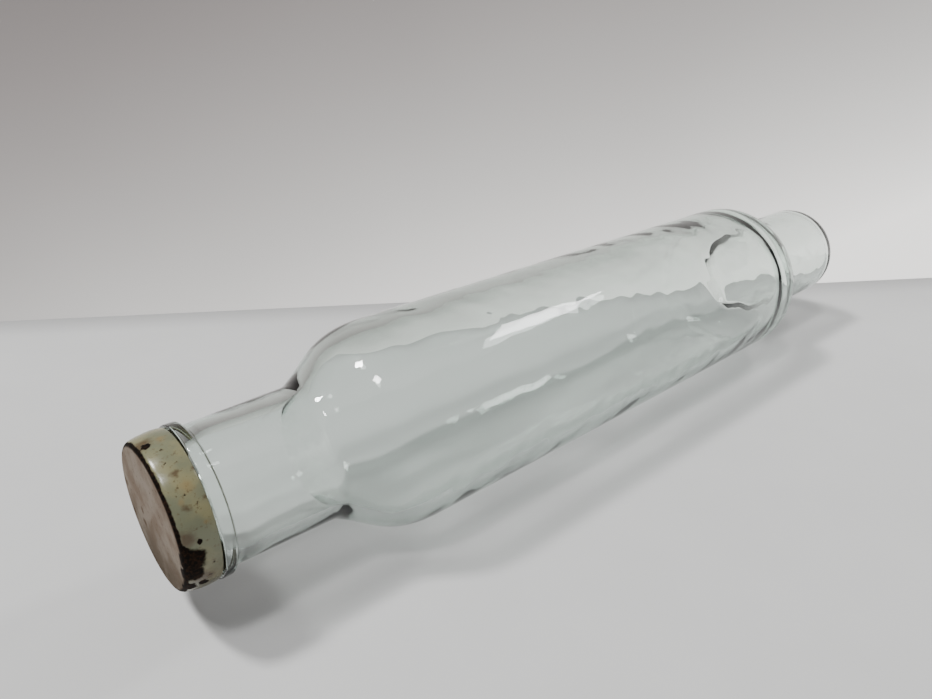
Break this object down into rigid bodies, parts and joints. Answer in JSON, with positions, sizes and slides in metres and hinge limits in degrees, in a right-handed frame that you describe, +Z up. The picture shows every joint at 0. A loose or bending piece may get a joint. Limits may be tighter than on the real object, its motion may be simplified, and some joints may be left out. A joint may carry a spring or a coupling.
{
  "type": "hollow glass rolling pin",
  "caption": "Hollow clear glass rolling pin with a closed handle at one end and a threaded mouth with a painted steel screw cap at the other.",
  "frame": {"origin": "bottom centre of the bounding box, under the middle of the pin's length, on the surface the barrel rests on", "axes": "+X along the pin from the cap to the closed handle, +Z up"},
  "size_m": [0.353, 0.07, 0.07],
  "materials": {
    "glass": "clear, faint grey-green, slightly wavy inside",
    "cap_paint": "aged cream enamel on steel, chipped and rusted",
    "liner_board": "matte pulp board",
    "liner_facing": "waxed"
  },
  "bodies": {
    "glass": {"glass_body": "glass"},
    "liner": {"liner_board": "liner_board", "liner_facing": "liner_facing"},
    "cap": {"cap_shell": "cap_paint"}
  },
  "joints": [
    {"name": "cap_turn", "type": "hinge", "parent": "liner", "child": "cap", "pos_m": [-0.1765, 0, 0.035], "axis": [-1, 0, 0], "range_deg": [0, 1440]},
    {"name": "cap_advance", "type": "slide", "parent": "glass", "child": "liner", "axis": [-1, 0, 0], "range_m": [0, 0.01693]}
  ],
  "couplings": [
    {"joint": "cap_advance", "follows": "cap_turn", "m_per_rad": 0.00067323}
  ]
}
